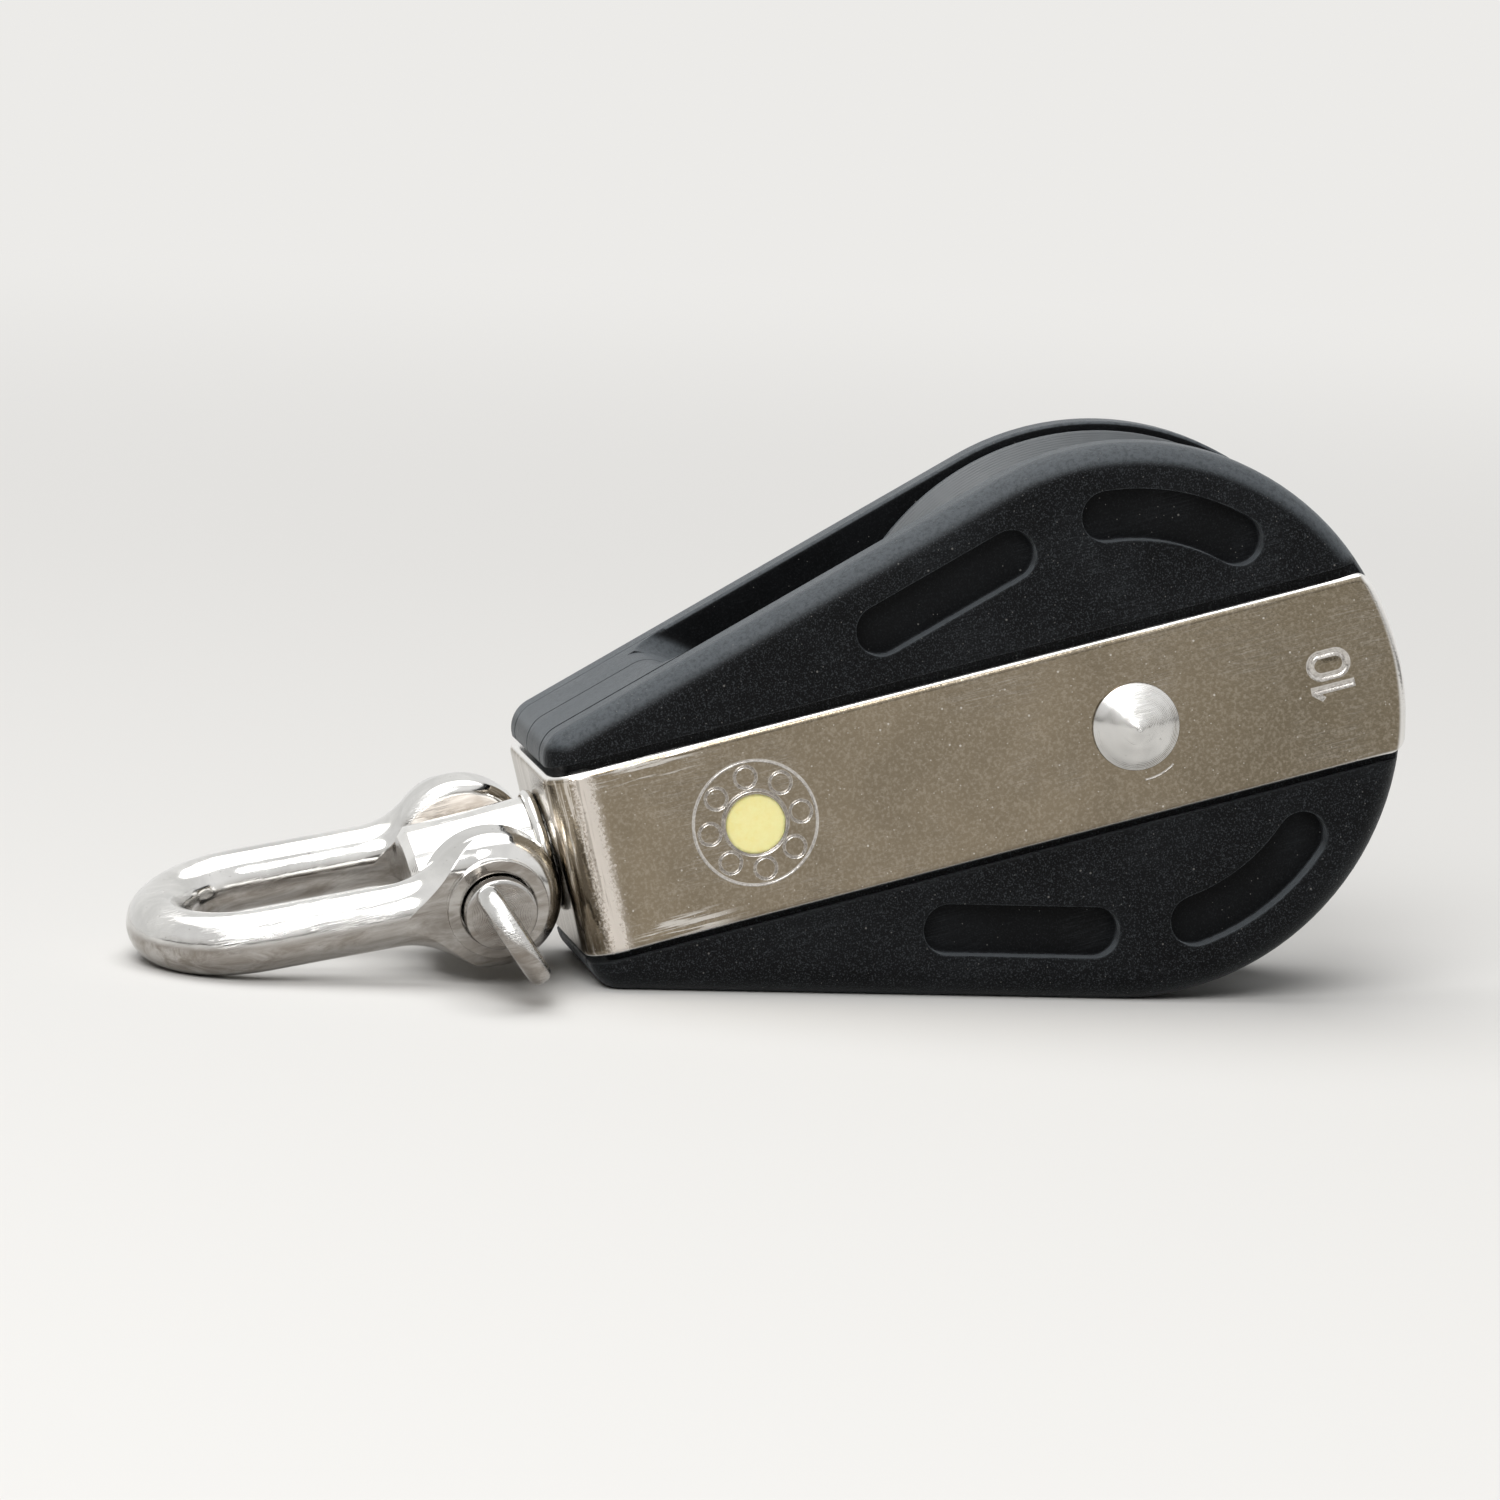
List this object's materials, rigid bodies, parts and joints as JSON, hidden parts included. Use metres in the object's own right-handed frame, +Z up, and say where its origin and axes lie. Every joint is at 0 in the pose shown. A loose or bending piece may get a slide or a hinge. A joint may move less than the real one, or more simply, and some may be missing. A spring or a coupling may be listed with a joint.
{
  "type": "swivel sailing block",
  "caption": "Ball-bearing sailing block with moulded cheeks, a bent steel strap and a swivelling D shackle, lying on its flank.",
  "frame": {"origin": "under the middle of the box round the whole part, on the ground that the flank lies on", "axes": "+Z up, +X from the shackle towards the sheave, +Y from the near cheek to the far one"},
  "size_m": [0.1216, 0.041, 0.054],
  "materials": {
    "casing": "matte, fine grain",
    "sheave": "satin",
    "strap": "polished, finely scratched",
    "steel": "polished",
    "marker": "satin",
    "balls": "polished",
    "cage": "satin"
  },
  "bodies": {
    "block_body": {"near_cheek": "casing", "far_cheek": "casing", "strap": "strap", "head_dowels": "steel", "near_marker": "marker", "far_marker": "marker", "axle_rivet": "steel", "inner_race": "steel", "near_side_washer": "steel", "far_side_washer": "steel"},
    "sheave_set": {"sheave": "sheave", "near_retainer": "sheave", "far_retainer": "sheave"},
    "ball_set": {"near_ball_row": "balls", "far_ball_row": "balls", "near_ball_cage": "cage", "far_ball_cage": "cage"},
    "swivel": {"swivel_post": "steel", "swivel_collar": "steel", "thrust_washer": "steel", "swivel_nut": "steel", "swivel_lock_pin": "steel"},
    "shackle": {"shackle_bow": "steel"},
    "screw_pin": {"shackle_pin": "steel"}
  },
  "joints": [
    {"name": "sheave_spin", "type": "hinge", "parent": "block_body", "child": "sheave_set", "pos_m": [0.03378, 0.00503, 0.027], "axis": [0, 1, 0], "continuous": true},
    {"name": "ball_roll", "type": "hinge", "parent": "block_body", "child": "ball_set", "pos_m": [0.03378, 0.00503, 0.027], "axis": [0, 1, 0], "continuous": true},
    {"name": "swivel_turn", "type": "hinge", "parent": "block_body", "child": "swivel", "pos_m": [0.03378, 0.00503, 0.027], "axis": [0.9622, 0, 0.2723], "continuous": true},
    {"name": "shackle_swing", "type": "hinge", "parent": "swivel", "child": "shackle", "pos_m": [-0.02741, 0.00503, 0.00968], "axis": [-0.0417, 0.9882, 0.1472], "range_deg": [-114.23, 105.77]},
    {"name": "pin_turn", "type": "hinge", "parent": "shackle", "child": "screw_pin", "pos_m": [-0.02741, 0.00503, 0.00968], "axis": [-0.0417, 0.9882, 0.1472], "range_deg": [0, 180]}
  ],
  "couplings": [
    {"joint": "ball_roll", "follows": "sheave_spin", "ratio": 0.61628}
  ]
}
